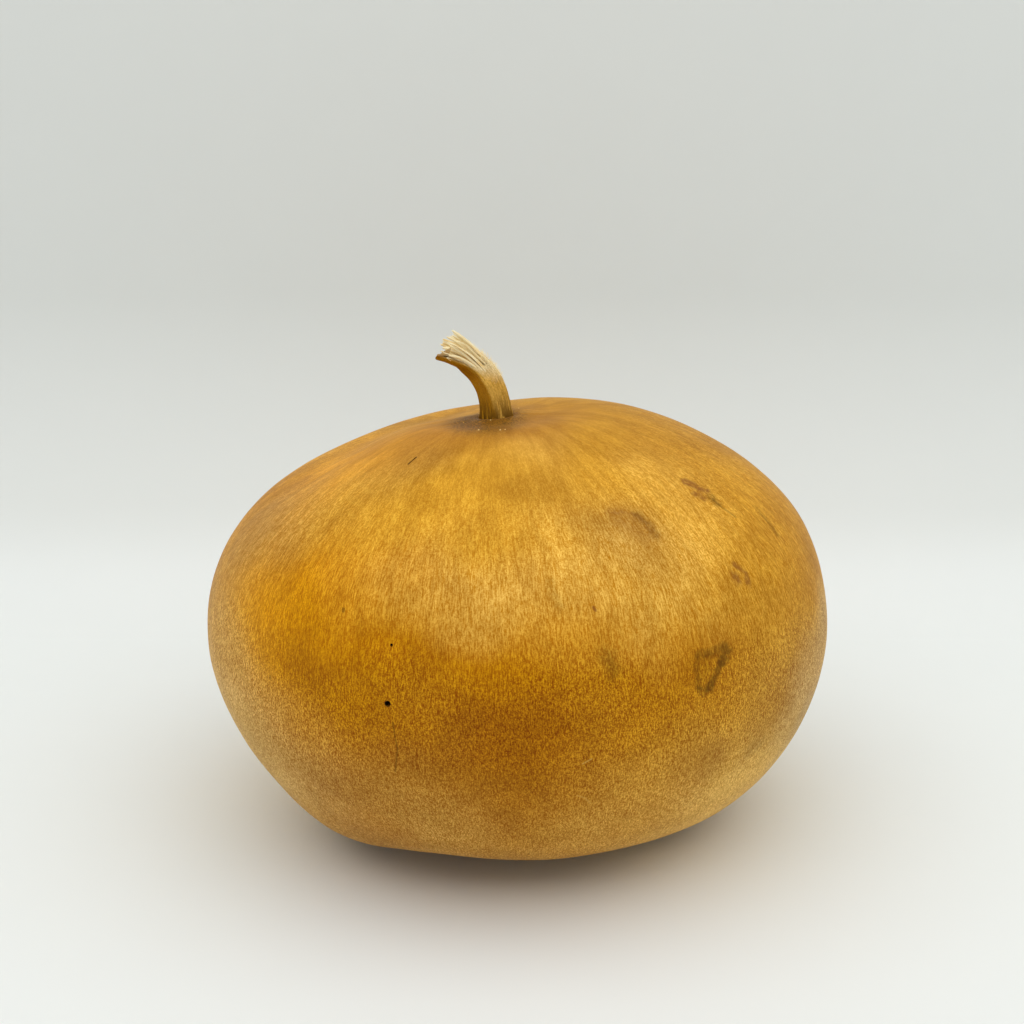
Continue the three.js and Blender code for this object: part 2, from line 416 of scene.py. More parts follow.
def soft_patch_group():
    """A patch with soft edges: 1 at its centre, a half at its reach, 0 outside."""
    graph, given, made = new_group(
        "Soft patch",
        [
            ("Position", "Vector", (0, 0, 0)),
            ("Centre", "Vector", (0, 0, 0)),
            ("Reach", "Vector", (1, 1, 1)),
            ("Softness", "Float", 0.5),
        ],
        [("Mask", "Float")],
    )
    away = graph.vector("SUBTRACT", given["Position"], given["Centre"])
    away = graph.vector("LENGTH", graph.vector("DIVIDE", away, given["Reach"]))
    start = graph.minus(1.0, given["Softness"])
    end = graph.plus(1.0, given["Softness"])
    graph.feed(made["Mask"], graph.between(away, start, end, 1.0, 0.0))
    return graph.tree


def stroke_group():
    """How far a position is from a short straight mark between two points."""
    graph, given, made = new_group(
        "Stroke",
        [
            ("Position", "Vector", (0, 0, 0)),
            ("Start", "Vector", (0, 0, 0)),
            ("End", "Vector", (0, 0, 1)),
        ],
        [("Distance", "Float")],
    )
    run = graph.vector("SUBTRACT", given["End"], given["Start"])
    away = graph.vector("SUBTRACT", given["Position"], given["Start"])
    along, whole = graph.vector("DOT_PRODUCT", away, run), graph.vector("DOT_PRODUCT", run, run)
    along = graph.math("DIVIDE", along, whole, clamp=True)
    away = graph.vector("SUBTRACT", away, graph.scaled(run, along))
    graph.feed(made["Distance"], graph.vector("LENGTH", away))
    return graph.tree


def edge_warp_group():
    """Moves a position about with noise, so that what is drawn on it gets an uneven edge."""
    graph, given, made = new_group(
        "Edge warp",
        [("Position", "Vector", (0, 0, 0)), ("Size", "Float", 10.0), ("Amount", "Float", 1.0)],
        [("Position", "Vector")],
    )
    coarse = graph.noise(given["Position"], graph.math("DIVIDE", 1.0, given["Size"]), 1.0, 0.6, colour=True)
    shift = graph.scaled(graph.vector("SUBTRACT", coarse, (0.5, 0.5, 0.5)), given["Amount"])
    graph.feed(made["Position"], graph.vector("ADD", given["Position"], shift))
    return graph.tree


def meridian_streaks_group():
    """Streaks that run from the stem to the foot and keep their width all the way down.

    Positions are in mm. The skin is cut into rings, each with its own drum of noise whose
    radius is near the skin's, and neighbouring rings fade into each other.
    """
    graph, given, made = new_group(
        "Meridian streaks",
        [
            ("Position", "Vector", (0, 0, 0)),
            ("Width", "Float", 1.0),
            ("Length", "Float", 8.0),
            ("Seed", "Float", 0.0),
        ],
        [("Value", "Float")],
    )
    first_drum = 10.0
    drum_step = 1.6
    drum_gap = 17.3
    narrowest = 2.0
    flatness = 1.45
    skin_radius = 108.0
    x, y, z = graph.split(given["Position"])
    x = graph.plus(x, graph.times(z, -STEM_SEAT.x / STEM_SEAT.z))
    radius = graph.math("SQRT", graph.plus(graph.times(x, x), graph.times(y, y)))
    radius = graph.math("MAXIMUM", radius, narrowest)
    height = graph.times(graph.minus(z, WIDEST_LINE), flatness)
    down = graph.times(graph.math("ARCTAN2", radius, height), skin_radius)
    drum = graph.math("LOGARITHM", graph.math("DIVIDE", radius, first_drum), math.e)
    drum = graph.math("DIVIDE", drum, math.log(drum_step))
    inner = graph.math("FLOOR", drum)
    share = graph.between(graph.minus(drum, inner), 0.15, 0.85)
    side = graph.math("DIVIDE", graph.times(graph.math("POWER", drum_step, inner), first_drum), radius)
    side = graph.math("DIVIDE", side, given["Width"])
    down = graph.math("DIVIDE", down, given["Length"])
    values = []
    for step in (0, 1):
        spread = graph.times(side, drum_step**step)
        lift = graph.plus(graph.times(graph.plus(inner, float(step)), drum_gap), given["Seed"])
        place = graph.join(graph.times(x, spread), graph.times(y, spread), graph.plus(down, lift))
        values.append(graph.minus(graph.noise(place, 1.0, 1.0, 0.5), 0.5))
    other = graph.minus(1.0, share)
    total = graph.plus(graph.times(values[0], other), graph.times(values[1], share))
    power = graph.plus(graph.times(share, share), graph.times(other, other))
    total = graph.math("DIVIDE", total, graph.math("SQRT", power))
    graph.feed(made["Value"], graph.plus(total, 0.5))
    return graph.tree


def new_material(name):
    """A material with a Principled shader. Returns it, its graph and the shader."""
    material = bpy.data.materials.new(name)
    material.use_nodes = True
    graph = Graph(material.node_tree)
    return material, graph, material.node_tree.nodes["Principled BSDF"]


def dress(graph, shader, tone, roughness, specular, height, bump_strength, bump_distance):
    """Gives a shader its colour, roughness and specular level, and a bump from a height."""
    graph.feed(shader.inputs["Base Color"], tone)
    graph.feed(shader.inputs["Roughness"], roughness)
    graph.feed(shader.inputs["Specular IOR Level"], specular)
    bump = graph.put("ShaderNodeBump")
    graph.feed(bump.inputs["Strength"], bump_strength)
    graph.feed(bump.inputs["Distance"], bump_distance)
    graph.feed(bump.inputs["Height"], height)
    graph.feed(shader.inputs["Normal"], bump.outputs["Normal"])


def object_place(graph):
    """The place on the piece, in mm."""
    return graph.scaled(graph.put("ShaderNodeTexCoord").outputs["Object"], 1 / MM)


def upright_place(graph):
    """The place on a piece of the stem before it was bent, in mm."""
    return graph.put("ShaderNodeAttribute", attribute_name="upright").outputs["Vector"]


# Sizes and colours that a user would change


def number(name, description, default, kind=FloatProperty, **settings):
    return kind(name=name, description=description, default=default, **settings)


def colour(name, description, default):
    return number(name, description, default, FloatVectorProperty, subtype="COLOR", min=0, max=1)


def length(name, description, default):
    return number(name, description, default, subtype="DISTANCE", unit="LENGTH")


def share(name, description, default):
    return number(name, description, default, subtype="FACTOR", min=0, max=1)


class RindSettings(bpy.types.PropertyGroup):
    """The rind's sizes and colours"""

    gold: colour("Gold", "The yellow of the shoulders", (0.66, 0.306, 0.016))
    amber: colour("Amber", "The rind's common colour", (0.56, 0.249, 0.014))
    tan: colour("Tan", "The paler streaked band above the widest line", (0.84, 0.440, 0.052))
    umber: colour("Umber", "The deep colour of the belly", (0.34, 0.104, 0.001))
    rust: colour("Rust", "The orange of the left shoulder", (1.00, 0.420, 0.001))
    straw: colour("Straw", "The pale patch low on the right", (0.76, 0.467, 0.104))
    clay: colour("Clay", "The dull brown near the foot", (0.75, 0.406, 0.061))
    mauve: colour("Mauve", "The dark tint of the dull zones", (0.06, 0.001, 0.010))
    olive: colour("Olive", "The greenish brown beside the belly", (0.44, 0.156, 0.001))
    stain: colour("Stain", "Old mould stains", (0.13, 0.052, 0.003))
    bruise: colour("Bruise", "Mauve blotches on the shoulders", (0.22, 0.066, 0.014))
    # The dark ring round the stem's foot is partly painted shade and partly stain
    groove_shade: colour("Groove", "The dark ring where the stem grows out", (0.085, 0.036, 0.002))
    # This colour is painted shade inside the nick and the pinholes
    soot: colour("Soot", "The inside of nicks and pinholes", (0.02, 0.010, 0.004))
    streak_width: length("Streak width", "Width of the fine streaks", 0.00044)
    streak_length: length("Streak length", "Length of the fine streaks", 0.0036)
    streak_contrast: share("Streak contrast", "How far the streaks stand out", 0.6)
    relief: length("Relief", "Height of the rind's slight waves", 0.0005)
    pinhole_radius: length("Pinhole radius", "Radius of the larger pinhole", 0.00095)
    roughness: share("Roughness", "The rind's roughness", 0.52)


class StemSettings(bpy.types.PropertyGroup):
    """The stem's sizes and colours"""

    foot_radius: length("Foot radius", "The stem's radius where it leaves the rind", 0.0052)
    end_radius: length("End radius", "The stem's radius where its fibres part", 0.0044)
    ridge_height: length("Ridge height", "Height of the five ridges", 0.0006)
    fibre_radius: length("Fibre radius", "Radius of a common fibre", 0.00052)
    hair_count: number("Hairs", "How many fine hairs stand on the frayed end", 520, IntProperty)
    # Bark is painted shade on the stem's lower side and pale bark painted light on its upper side; pale bark
    # is also the crumbs' own colour
    bark: colour("Bark", "The brown lower side of the stem", (0.56, 0.262, 0.012))
    pale_bark: colour("Pale bark", "The upper side of the stem", (0.78, 0.455, 0.085))
    # The grooves at the stem's foot are painted shade
    groove_shade: colour("Groove", "The dark grooves at the stem's foot", (0.14, 0.06, 0.004))
    fibre: colour("Fibre", "The fibres of the frayed end", (1.0, 0.89, 0.58))
    fibre_shade: colour("Fibre shade", "The darker lines between the fibres", (0.93, 0.67, 0.29))


class StudioSettings(bpy.types.PropertyGroup):
    """The studio's light and colours"""

    floor: colour("Floor", "The floor's paper", (0.852, 0.872, 0.86))
    wall: colour("Wall", "The wall's paper", (0.785, 0.80, 0.778))
    surroundings: number("Surroundings", "Strength of the even light all round", 0.43)
    overhead: number("Overhead light", "Power of the soft light above", 17.0, unit="POWER")
    overhead_size: length("Overhead size", "Width of the soft light above", 2.6)
    sweep_start: length("Sweep start", "Where the paper starts to rise, behind the gourd's middle", 0.157)
    sweep_radius: length("Sweep radius", "Radius of the paper's curve", 0.13)
    lens: number("Lens", "The camera's focal length in mm", 67.18)


# Rind


def model_rind(s):
    """The rind, from a ball drawn on to the fruit's form."""
    guide = merged_node("fruit", "rind_guide")
    middle = Vector((0.0, 0.0, WIDEST_LINE * MM + 0.001))
    half = Vector((0.1085, 0.1050, 0.0735))
    lean = STEM_SEAT.x * MM / half.z
    rind = begin(
        bpy.ops.mesh.primitive_uv_sphere_add,
        "rind",
        segments=72,
        ring_count=48,
        radius=1.0,
        location=middle,
        rotation=(0.0, lean, 0.0),
        scale=half,
    )
    finish_with(rind, "SHRINKWRAP", target=guide, wrap_method="NEAREST_SURFACEPOINT", offset=0.0002)
    finish_with(rind, "SMOOTH", factor=0.5, iterations=3)
    discard(guide)

    # The pole moves under the stem's foot
    edit(rind)
    seat = STEM_SEAT * MM
    top = max((v.co for v in rind.data.vertices), key=lambda co: -(co.xy - seat.xy).length + co.z).copy()
    choose(rind, lambda v: (v.co - top).length < 1e-6)
    bpy.ops.transform.translate(value=seat + Vector((0, 0, 0.001)) - top)

    # There the rind swells a little towards the stem
    for inner, outer, rise in ((3.0, 10.5, 2.7), (10.5, 18.0, 0.9)):
        choose(rind, lambda v: inner < (v.co.xy - seat.xy).length / MM < outer and v.co.z > middle.z)
        bpy.ops.transform.translate(value=(0, 0, rise * MM))

    # The blossom scar, a small button in a pit under the foot
    choose(rind, lambda f: f.calc_center_median().z < 0.004 and len(f.verts) == 3, "FACE")
    bpy.ops.mesh.inset(thickness=0.0022, depth=-0.0008)
    bpy.ops.mesh.inset(thickness=0.0012, depth=0.0005)
    deselect()

    finish_with(rind, "SUBSURF", levels=2, render_levels=2)
    waves = bpy.data.textures.new("slight waves", "CLOUDS")
    waves.noise_scale = 0.028
    waves.noise_depth = 2
    finish_with(rind, "DISPLACE", texture=waves, strength=s.relief, mid_level=0.5, texture_coords="LOCAL")
    edit(rind)
    choose(rind, lambda v: v.co.z < 0)
    bpy.ops.transform.resize(value=(1, 1, 0), center_override=(0, 0, 0))
    deselect()
    return rind


def pierce(rind, point, radius, depth):
    """Cuts a pinhole that narrows inwards, at the skin nearest to a point in mm. Returns that place."""
    proud = 0.001
    skin, outward = on_skin(rind, Vector(point) * MM)
    cutter = begin(
        bpy.ops.mesh.primitive_cone_add,
        "pinhole_cutter",
        vertices=20,
        radius1=radius * 0.7,
        radius2=radius * 1.1,
        depth=depth + 2 * proud,
        location=skin - outward * (depth / 2 - proud),
        rotation=outward.to_track_quat("Z", "Y").to_euler(),
    )
    finish_with(rind, "BOOLEAN", object=cutter, operation="DIFFERENCE", solver="EXACT")
    discard(cutter)
    return skin / MM


def nick(rind, start, end, width, depth):
    """Cuts a short narrow nick between two points in mm."""
    start, end = Vector(start) * MM, Vector(end) * MM
    skin, outward = on_skin(rind, (start + end) / 2)
    run = (end - start).normalized()
    across = outward.cross(run).normalized()
    turned = Matrix((run, across, run.cross(across))).transposed()
    cutter = begin(
        bpy.ops.mesh.primitive_uv_sphere_add,
        "nick_cutter",
        segments=12,
        ring_count=8,
        radius=1.0,
        location=skin,
        rotation=turned.to_euler(),
        scale=((end - start).length / 2, width / 2, depth),
    )
    finish_with(rind, "BOOLEAN", object=cutter, operation="DIFFERENCE", solver="EXACT")
    discard(cutter)


def rind_material(s, groups, rind, holes):
    """The rind's finish. Marks are moved on to the skin, and holes are pinholes' places and radii in mm."""
    material, graph, shader = new_material("gourd rind")
    place = object_place(graph)
    _, y, z = graph.split(place)
    broad = graph.group(groups["warp"], Position=place, Size=34.0, Amount=30.0)
    fine = graph.group(groups["warp"], Position=place, Size=2.4, Amount=2.2)

    def patch(where, centre, reach, softness=0.5):
        return graph.group(groups["patch"], Position=where, Centre=centre, Reach=reach, Softness=softness)

    # Ground colour by height, then the zones
    tone = graph.mix(graph.between(z, 35, 70), s.clay, s.amber)
    tone = graph.mix(graph.between(z, 95, 125), tone, s.gold)
    for name, centre, reach, softness, strength in RIND_ZONES:
        zone = graph.times(patch(broad, centre, reach, softness), strength)
        tone = graph.mix(zone, tone, getattr(s, name))

    # The far side has zones and stains of its own
    behind = graph.between(graph.minus(y, graph.times(z, 0.25)), -15, 25)
    broad_z = graph.split(broad)[2]
    band = graph.times(graph.between(broad_z, 50, 68), graph.between(broad_z, 100, 82))
    clouds = graph.noise(broad, 0.019, 2.0, 0.55)
    others = graph.noise(graph.vector("ADD", broad, (310, 120, 75)), 0.024, 2.0, 0.55)
    for name, mask, strength in (
        ("umber", band, 0.65),
        ("rust", graph.between(clouds, 0.46, 0.66), 0.25),
        ("tan", graph.between(clouds, 0.52, 0.34), 0.6),
        ("mauve", graph.between(others, 0.50, 0.74), 0.35),
    ):
        tone = graph.mix(graph.times(graph.times(mask, behind), strength), tone, getattr(s, name))

    # Mottle in clouds of one to three centimetres
    mottle = graph.between(graph.noise(place, 0.07, 2.0, 0.55, 0.4), 0.3, 0.7)
    tone = graph.tinted(tone, graph.mix(mottle, (0.92, 0.90, 0.84), (1.07, 1.09, 1.15)))

    # Fine pale threads run from the stem to the foot, shorter and felted below
    wide, long = s.streak_width / MM, s.streak_length / MM
    bent = graph.vector("ADD", graph.scaled(place, 0.65), graph.scaled(fine, 0.35))
    streaks = graph.group(groups["streaks"], Position=place, Width=wide, Length=long, Seed=3.0)
    curls = graph.group(groups["streaks"], Position=bent, Width=wide, Length=long * 0.45, Seed=41.0)
    felt = graph.noise(place, 2.3, 1.0, 0.6)

    def blended(first, second, weight):
        """Two patterns about 0 in one, as lively as each of them."""
        rest = graph.minus(1.0, weight)
        first = graph.times(graph.minus(first, 0.5), rest)
        second = graph.times(graph.minus(second, 0.5), weight)
        power = graph.plus(graph.times(rest, rest), graph.times(weight, weight))
        both = graph.math("DIVIDE", graph.plus(first, second), graph.math("SQRT", power))
        return graph.plus(both, 0.5)

    upper = graph.between(broad_z, 66, 94)
    share = graph.times(graph.between(broad_z, 74, 98, 0.2, 0.5), graph.between(broad_z, 136, 112, 0.4, 1.0))
    pattern = blended(blended(curls, felt, 0.5), streaks, share)
    pattern = graph.between(pattern, 0.5 - 0.15 / s.streak_contrast, 0.5 + 0.21 / s.streak_contrast)
    # They fade out round the stem
    calm = patch(broad, STEM_SEAT, (50, 62, 40), 0.6)
    pattern = graph.mix(graph.times(calm, 0.75), pattern, (0.5, 0.5, 0.5))
    dark = graph.mix(band, graph.mix(upper, (0.68, 0.52, 0.20), (0.74, 0.60, 0.18)), (0.64, 0.44, 0.14))
    light = graph.mix(band, graph.mix(upper, (1.58, 2.05, 3.80), (1.36, 1.62, 2.90)), (1.80, 2.35, 4.60))
    tone = graph.tinted(tone, graph.mix(pattern, dark, light))

    # Broader streaks on the upper half
    bands = graph.group(groups["streaks"], Position=bent, Width=2.4, Length=15.0, Seed=77.0)
    bands = graph.mix(graph.between(bands, 0.34, 0.66), (0.91, 0.88, 0.80), (1.07, 1.09, 1.15))
    bands = graph.mix(graph.between(broad_z, 78, 118, 0.15, 0.9), (1.0, 1.0, 1.0), bands)
    tone = graph.tinted(tone, bands)

    # Stains and scars, and painted shade along the nick
    ragged = graph.between(graph.noise(place, 0.55, 2.0, 0.65), 0.32, 0.58, 0.45, 1.0)
    for name, strength, width, softness, *points in RIND_MARKS:
        points = [on_skin(rind, Vector(point) * MM)[0] / MM for point in points]
        where = fine if width > WIDE_MARK else place
        away = 1000.0
        for start, end in zip(points, points[1:]):
            near = graph.group(groups["stroke"], Position=where, Start=start, End=end)
            away = graph.math("MINIMUM", away, near)
        mark = graph.between(away, width / 2 * (1 - softness), width / 2 * (1 + softness), 1.0, 0.0)
        if width > WIDE_MARK:
            mark = graph.times(mark, ragged)
        tone = graph.mix(graph.times(mark, strength), tone, getattr(s, name))

    # The rind is painted dark and speckled where the stem grows out of it: partly painted shade in the hollow
    # round the stem's foot, partly stain
    ring = patch(fine, (-8.2, -8.6, 142), (13.0, 22.0, 26), 0.42)
    specks = graph.between(graph.noise(place, 1.6, 1.5, 0.7), 0.40, 0.60, 0.35, 1.0)
    tone = graph.mix(graph.times(graph.times(ring, specks), 0.95), tone, s.groove_shade)

    # Inside the pinholes it is dark: painted shade in the holes
    for hole, size in holes:
        tone = graph.mix(patch(place, hole, (size, 6.0, size), 0.15), tone, s.soot)

    # The pale threads are a little smoother than the ground
    roughness = graph.between(pattern, 0.0, 1.0, s.roughness + 0.05, s.roughness - 0.05)
    graph.feed(shader.inputs["Sheen Weight"], 0.055)
    graph.feed(shader.inputs["Sheen Roughness"], 0.3)
    dress(graph, shader, tone, roughness, 0.05, height=felt, bump_strength=0.3, bump_distance=0.0001)
    return material


# Stem


def stem_guide():
    """The line that the straight stem is bent along."""
    line = bpy.data.curves.new("stem_guide", "CURVE")
    line.dimensions = "3D"
    line.resolution_u = 24
    spline = line.splines.new("BEZIER")
    spline.bezier_points.add(len(STEM_LINE) - 1)
    for knot, point in zip(spline.bezier_points, STEM_LINE):
        knot.co = Vector(point) * MM
        knot.handle_left_type = knot.handle_right_type = "AUTO"
    guide = bpy.data.objects.new("stem_guide", line)
    bpy.context.scene.collection.objects.link(guide)
    return guide


def bend_along_stem(piece):
    """Bends a piece that was modelled upright.

    Its Z runs along the stem, its Y is the outer side of the bend and its X the front.
    The upright places stay in an attribute.
    """
    upright = piece.data.attributes.new("upright", "FLOAT_VECTOR", "POINT")
    for vertex, kept in zip(piece.data.vertices, upright.data):
        kept.vector = vertex.co / MM
    guide = stem_guide()
    finish_with(piece, "CURVE", object=guide, deform_axis="POS_Z")
    discard(guide)


def round_angle(co):
    """The angle round the stem: 0 on the outer side of the bend, 90 degrees in front."""
    return math.atan2(co.x, co.y)


def runs_up(e):
    """Whether an edge of an upright piece runs up it, and not round it."""
    return abs(e.verts[0].co.z - e.verts[1].co.z) > 0.5 * MM


def at_height(v, up):
    """Whether a vertex of an upright piece is at this height, in mm."""
    return abs(v.co.z / MM - up) < 0.1


def on_line(v, angle):
    """Whether a vertex of the upright bark is on the upright line at this angle."""
    return abs(round_angle(v.co) - angle) < 0.002


def stem_radius(up, s):
    """The bark's common radius at a height along the upright stem, in mm."""
    foot, end = s.foot_radius / MM, s.end_radius / MM
    whole = 43
    flare = 1.6 * math.exp(-((up - 3.0) / 5.4) ** 2)
    return foot + (end - foot) * up / whole + flare


def model_stem_bark(s):
    """The bark, modelled upright as a ribbed tube with a tongue, then given its thickness and bent."""
    lines = 80
    rows = 29
    low, high = 2.0, 31.0
    bark = begin(
        bpy.ops.mesh.primitive_cylinder_add,
        "stem_bark",
        vertices=lines,
        radius=MM,
        depth=(high - low) * MM,
        end_fill_type="NOTHING",
        location=(0, 0, (low + high) / 2 * MM),
        rotation=(0, 0, math.radians(2)),
    )
    edit(bark)
    choose(bark, runs_up, "EDGE")
    bpy.ops.mesh.subdivide(number_cuts=rows - 1)

    # Each ring takes the stem's radius
    for row in range(rows + 1):
        up = low + (high - low) * row / rows
        wide = stem_radius(up, s)
        choose(bark, lambda v: at_height(v, up))
        bpy.ops.transform.resize(value=(wide, wide, 1), center_override=(0, 0, 0))

    # The tongue grows from the lower part of the end
    reach = math.radians(76)
    choose(
        bark,
        lambda e: all(v.co.z > (high - 0.1) * MM and abs(round_angle(-v.co)) < reach for v in e.verts),
        "EDGE",
    )
    for narrowing in (0.97, 0.95, 0.92, 0.86, 0.74, 0.5, 0.35):
        bpy.ops.mesh.extrude_region_move(TRANSFORM_OT_translate={"value": (0, -0.12 * MM, 1.65 * MM)})
        bpy.ops.transform.resize(value=(narrowing, 0.93, 1), center_override=(0, -4.6 * MM, 0))

    # Ridges: each upright line of points moves out or in, and the root's ribs spread
    verts = bmesh.from_edit_mesh(bark.data).verts
    angles = {round(round_angle(v.co), 3) for v in verts if v.co.z < high * MM}
    for angle in sorted(angles):
        ridge = 1 - abs(math.sin(2.5 * (angle - math.radians(RIDGE_ANGLE))))
        push = 1 + s.ridge_height / s.foot_radius * (2.2 * ridge - 0.8)
        choose(bark, lambda v: on_line(v, angle))
        bpy.ops.transform.resize(value=(push, push, 1), center_override=(0, 0, 0))
        rib = 1 + 0.09 * math.cos(ROOT_RIBS * angle + 0.4)
        for step, power in enumerate((1.0, 1.0, 1.0, 1.0, 0.95, 0.85, 0.7, 0.5, 0.35, 0.2)):
            choose(bark, lambda v: on_line(v, angle) and at_height(v, low + step))
            spread = 1 + (rib - 1) * power
            bpy.ops.transform.resize(value=(spread, spread, 1), center_override=(0, 0, 0))

    # The upper part of the end is worn back and ragged, and hugs the fibres
    rng = random.Random(11)
    worn = 11.0
    worn_from = high - worn
    fingers = 27
    finger = [rng.uniform(0, 3.0) for _ in range(fingers)]
    for angle in sorted(angles):
        if abs(angle) > math.radians(WORN_ANGLE):
            continue
        at = (angle + math.pi) / math.tau * fingers
        notch = finger[int(at) % fingers] + 1.8 * abs(at % 1 - 0.5)
        left = (worn - (worn_back(angle) + notch)) / worn
        choose(bark, lambda v: on_line(v, angle) and worn_from * MM < v.co.z < (high + 0.1) * MM)
        bpy.ops.transform.resize(value=(1, 1, left), center_override=(0, 0, worn_from * MM))
    hugging = bark.vertex_groups.new(name="wall thickness")
    tools = bpy.context.scene.tool_settings
    bpy.ops.mesh.select_all(action="SELECT")
    tools.vertex_group_weight = 1.0
    bpy.ops.object.vertex_group_assign()
    for up_share, hug, wall in ((0.76, 0.98, 0.75), (0.84, 0.96, 0.45), (0.92, 0.94, 0.25)):
        choose(bark, lambda v: rim_share(v.co, low, high) > up_share)
        bpy.ops.transform.resize(value=(hug, hug, 1), center_override=(0, 0, 0))
        tools.vertex_group_weight = wall
        bpy.ops.object.vertex_group_assign()
    choose(bark, lambda v: v.co.z > (high + 6) * MM)
    tools.vertex_group_weight = 0.6
    bpy.ops.object.vertex_group_assign()
    deselect()
    finish_with(
        bark,
        "SOLIDIFY",
        thickness=0.0009,
        offset=-1.0,
        use_even_offset=True,
        vertex_group=hugging.name,
        thickness_vertex_group=0.0,
    )
    finish_with(bark, "SUBSURF", levels=1, render_levels=1)
    bend_along_stem(bark)
    return bark


def worn_back(angle):
    """How far the bark's end is worn back at an angle, in mm: most on the outer side of the bend."""
    return ((1 + math.cos(angle)) / 2) ** 1.5


def rim_share(co, low, high):
    """How near a point of the upright bark is to its worn end, from 0 at the foot to about 1."""
    if co.z > (high + 0.2) * MM or abs(round_angle(co)) > math.radians(WORN_ANGLE):
        return 0.0
    return (co.z / MM - low) / (high - 2.0 - worn_back(round_angle(co)) - low)


def model_fibres(s):
    """The fibres of the stem's core: one rod is modelled, then copied, splayed and bent."""
    rng = random.Random(7)
    rings = ((0.0, 1), (1.15, 6), (2.35, 12), (3.5, 19), (3.85, 10))
    first = 17.0
    parting = 28.5
    centre = (0, 0, 0)
    rod = begin(
        bpy.ops.mesh.primitive_cylinder_add,
        "fibre_rod",
        vertices=6,
        radius=s.fibre_radius,
        depth=MM,
        location=(0, 0, 0.5 * MM),
    )
    edit(rod)
    choose(rod, runs_up, "EDGE")
    bpy.ops.mesh.subdivide(number_cuts=9)
    choose(rod, lambda v: v.co.z > 0.95 * MM)
    bpy.ops.transform.resize(value=(0.72, 0.72, 1), center_override=centre)
    bpy.ops.transform.translate(value=(0.2 * s.fibre_radius, 0, 0))
    deselect()

    fibres = []
    for ring_radius, count in rings:
        for step in range(count):
            thin = ring_radius > 3.8
            angle = 2 * math.pi * (step + rng.uniform(-0.3, 0.3)) / count
            at = Vector((math.sin(angle), math.cos(angle), 0)) * ring_radius
            upper = at.y / 3.5
            tall = 24.0 - 1.4 * max(upper, 0) + rng.uniform(-2.2, 1.5)
            if upper < -0.75:
                tall -= 2.0
            fibre = copy_of(rod, f"fibre_{len(fibres)}")
            edit(fibre)
            bpy.ops.mesh.select_all(action="SELECT")
            thick = rng.uniform(0.45, 0.6) if thin else rng.uniform(0.85, 1.3)
            flat = thick * rng.uniform(0.65, 1.0)
            bpy.ops.transform.resize(value=(thick, flat, tall), center_override=centre)
            bpy.ops.transform.rotate(value=rng.uniform(0, 6.3), orient_axis="Z", center_override=centre)
            bpy.ops.transform.translate(value=(at.x * MM, at.y * MM, first * MM))
            # The free length bends out, in three tiers with gaps between them
            tier = 1.3 if upper > 0.3 else (0.5 if upper < -0.35 else 0.3)
            aim = Vector((at.x * 0.16 + rng.gauss(0, 0.5), tier + 0.5 * upper + rng.gauss(0, 0.4), 0))
            wave = Vector((rng.gauss(0, 0.16), rng.gauss(0, 0.16), 0))
            for part in range(5, 11):
                up = first + tall * part / 10
                free = max(0.0, (up - parting) / 10.0)
                shift = aim * free**1.3 + wave * math.sin(free * 6.0)
                choose(fibre, lambda v: at_height(v, up))
                bpy.ops.transform.translate(value=shift * MM)
            deselect()
            fibres.append(fibre)
    discard(rod)
    brush = joined(fibres, "stem_fibres")
    finish_with(brush, "SUBSURF", levels=1, render_levels=1)
    bend_along_stem(brush)
    return brush


def model_hairs(s):
    """Fine hairs on the frayed end: one is modelled, then copied, set on the stem and bent with it."""
    rng = random.Random(23)
    tall = 2.4
    hair = begin(
        bpy.ops.mesh.primitive_cone_add,
        "one_hair",
        vertices=3,
        radius1=0.035 * MM,
        radius2=0.015 * MM,
        depth=tall * MM,
        location=(0, 0, tall / 2 * MM),
    )
    edit(hair)
    choose(hair, runs_up, "EDGE")
    bpy.ops.mesh.subdivide(number_cuts=3)
    for height, lean in ((1.2, 0.12), (1.8, 0.32), (2.4, 0.62)):
        choose(hair, lambda v: at_height(v, height))
        bpy.ops.transform.translate(value=(lean * MM, 0, 0))
    deselect()
    hairs = []
    for step in range(s.hair_count):
        angle = rng.gauss(0, 0.75)
        up = rng.uniform(20, 36)
        out = stem_radius(up, s) - 0.35 if up < 30 else 3.9 + 0.1 * (up - 30)
        outward = Vector((math.sin(angle), math.cos(angle), 0))
        aim = (outward + Vector((rng.gauss(0, 0.35), rng.gauss(0, 0.35), rng.uniform(0.3, 1.8)))).normalized()
        one = copy_of(hair, f"hair_{step}")
        one.location = (outward * out + Vector((0, 0, up))) * MM
        one.rotation_mode = "QUATERNION"
        one.rotation_quaternion = aim.to_track_quat("Z", "Y")
        size = rng.uniform(0.25, 0.75)
        one.scale = (1, 1, size)
        hairs.append(one)
    discard(hair)
    fuzz = joined(hairs, "stem_hairs")
    settle(fuzz)
    bend_along_stem(fuzz)
    return fuzz


def model_crumbs(rind):
    """Pale crumbs of dried bark round the stem's foot: one is modelled, then copied on to the rind."""
    rng = random.Random(5)
    over_rind = 148
    crumb = begin(bpy.ops.mesh.primitive_ico_sphere_add, "one_crumb", subdivisions=2, radius=0.5 * MM)
    edit(crumb)
    choose(crumb, lambda v: v.co.z < -0.1 * MM)
    bpy.ops.transform.resize(value=(1.1, 1.1, 0.3), center_override=(0, 0, 0))
    choose(crumb, lambda v: v.co.x > 0.2 * MM)
    bpy.ops.transform.translate(value=(0.12 * MM, 0.05 * MM, 0))
    deselect()
    crumbs = []
    for step, (x, y, size) in enumerate(CRUMBS):
        skin, outward = on_skin(rind, Vector((x, y, over_rind)) * MM)
        one = copy_of(crumb, f"crumb_{step}")
        one.location = skin
        one.rotation_euler = outward.to_track_quat("Z", "Y").to_euler()
        one.scale = (size, size * rng.uniform(0.7, 1.0), size * rng.uniform(0.6, 0.9))
        crumbs.append(one)
    discard(crumb)
    scatter = joined(crumbs, "stem_crumbs")
    settle(scatter)
    return scatter


